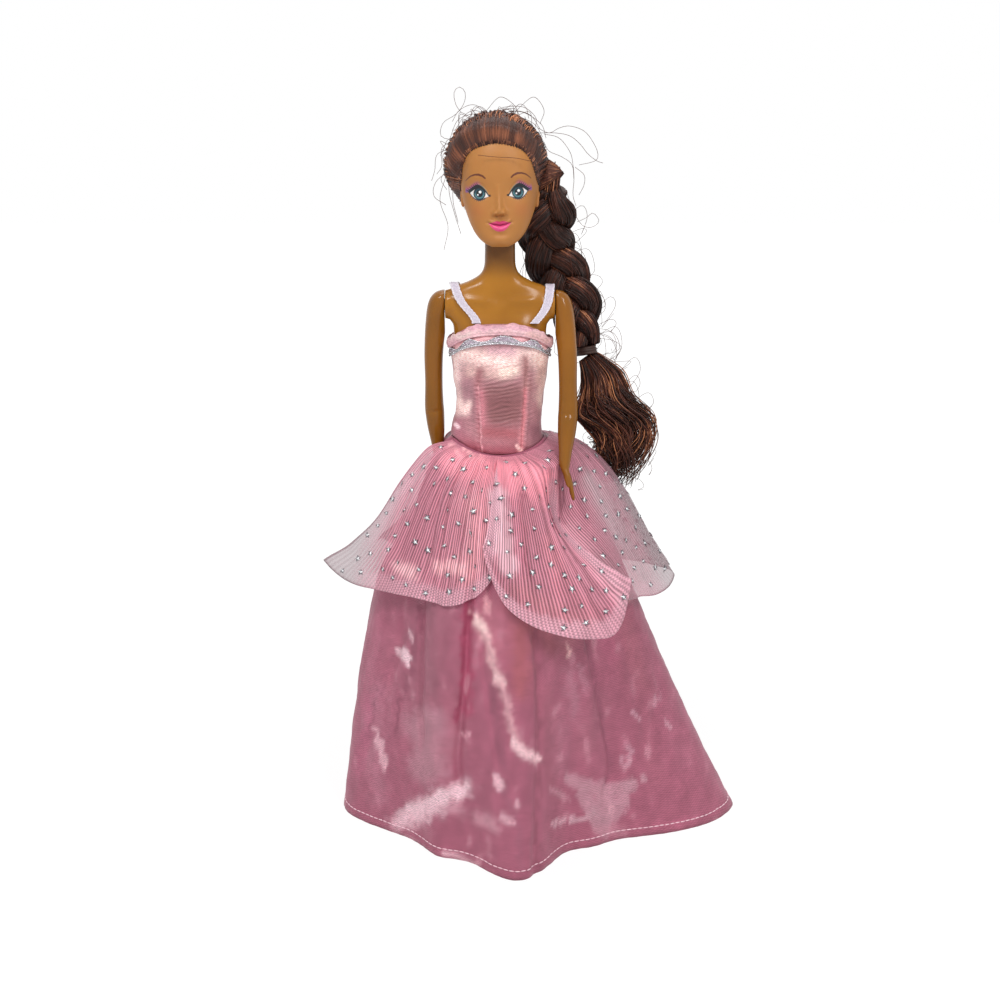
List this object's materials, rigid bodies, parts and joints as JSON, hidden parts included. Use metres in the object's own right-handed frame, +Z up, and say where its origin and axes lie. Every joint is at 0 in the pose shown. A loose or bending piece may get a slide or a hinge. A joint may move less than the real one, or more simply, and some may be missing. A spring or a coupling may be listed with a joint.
{
  "type": "fashion doll",
  "caption": "Standing fashion doll in a full-length satin gown with a sheer petal overskirt and a side braid; its head turns and its arms and legs swing.",
  "frame": {"origin": "on the floor, in the middle of the footprint of the doll with its spread skirt", "axes": "+Z up, the face looks towards -Y, +X towards the doll's own left hand"},
  "size_m": [0.177, 0.1126, 0.293],
  "materials": {
    "body_plastic": "injection-moulded brown plastic, semi-gloss",
    "face_vinyl": "soft brown vinyl with a painted face, matte",
    "hair_fibre": "dark chestnut synthetic hair, silky",
    "pink_satin": "pink satin with a fine weave and a bright sheen",
    "white_ribbon": "white to pale lilac satin ribbon",
    "organza": "sheer pink crinkled organza with silver glitter dots",
    "silver_lace": "silver metallic thread lace",
    "closure_tape": "white nylon hook and loop tape",
    "hair_elastic": "thin elastic hair tie",
    "joint_plastic": "moulded joint plastic, matte"
  },
  "bodies": {
    "torso": {"torso_front": "body_plastic", "torso_back": "body_plastic", "neck_knob": "joint_plastic", "left_shoulder_peg": "joint_plastic", "right_shoulder_peg": "joint_plastic", "bodice_front": "pink_satin", "bodice_back_left": "pink_satin", "bodice_back_right": "pink_satin", "loop_tape": "closure_tape", "hook_tape": "closure_tape", "neckline_band": "pink_satin", "silver_trim": "silver_lace", "left_strap": "white_ribbon", "right_strap": "white_ribbon", "skirt": "pink_satin", "peplum_petal_front_right": "organza", "peplum_petal_front_left": "organza", "peplum_petal_back_left": "organza", "peplum_petal_back_right": "organza"},
    "head": {"head_shell": "face_vinyl", "rooted_hair": "hair_fibre", "hair_braid": "hair_fibre", "braid_tie": "hair_elastic", "hair_tail": "hair_fibre"},
    "left_arm": {"left_arm": "body_plastic"},
    "right_arm": {"right_arm": "body_plastic"},
    "left_leg": {"left_leg": "body_plastic", "left_hip_pin": "joint_plastic"},
    "right_leg": {"right_leg": "body_plastic", "right_hip_pin": "joint_plastic"}
  },
  "joints": [
    {"name": "head_turn", "type": "hinge", "parent": "torso", "child": "head", "pos_m": [-0.01514, 0.00142, 0.247], "axis": [0, 0, 1], "range_deg": [-45, 60], "deforming": ["hair_braid", "braid_tie", "hair_tail"]},
    {"name": "left_shoulder", "type": "hinge", "parent": "torso", "child": "left_arm", "pos_m": [0.00636, 0.00142, 0.221], "axis": [-1, 0, 0], "continuous": true, "deforming": ["skirt", "peplum_petal_front_right", "peplum_petal_front_left", "peplum_petal_back_left", "peplum_petal_back_right"]},
    {"name": "right_shoulder", "type": "hinge", "parent": "torso", "child": "right_arm", "pos_m": [-0.03664, 0.00142, 0.221], "axis": [-1, 0, 0], "continuous": true},
    {"name": "left_hip", "type": "hinge", "parent": "torso", "child": "left_leg", "pos_m": [-0.00364, 0.00142, 0.15], "axis": [-1, 0, 0], "range_deg": [-12, 9]},
    {"name": "right_hip", "type": "hinge", "parent": "torso", "child": "right_leg", "pos_m": [-0.02664, 0.00142, 0.15], "axis": [-1, 0, 0], "range_deg": [-12, 9]}
  ]
}
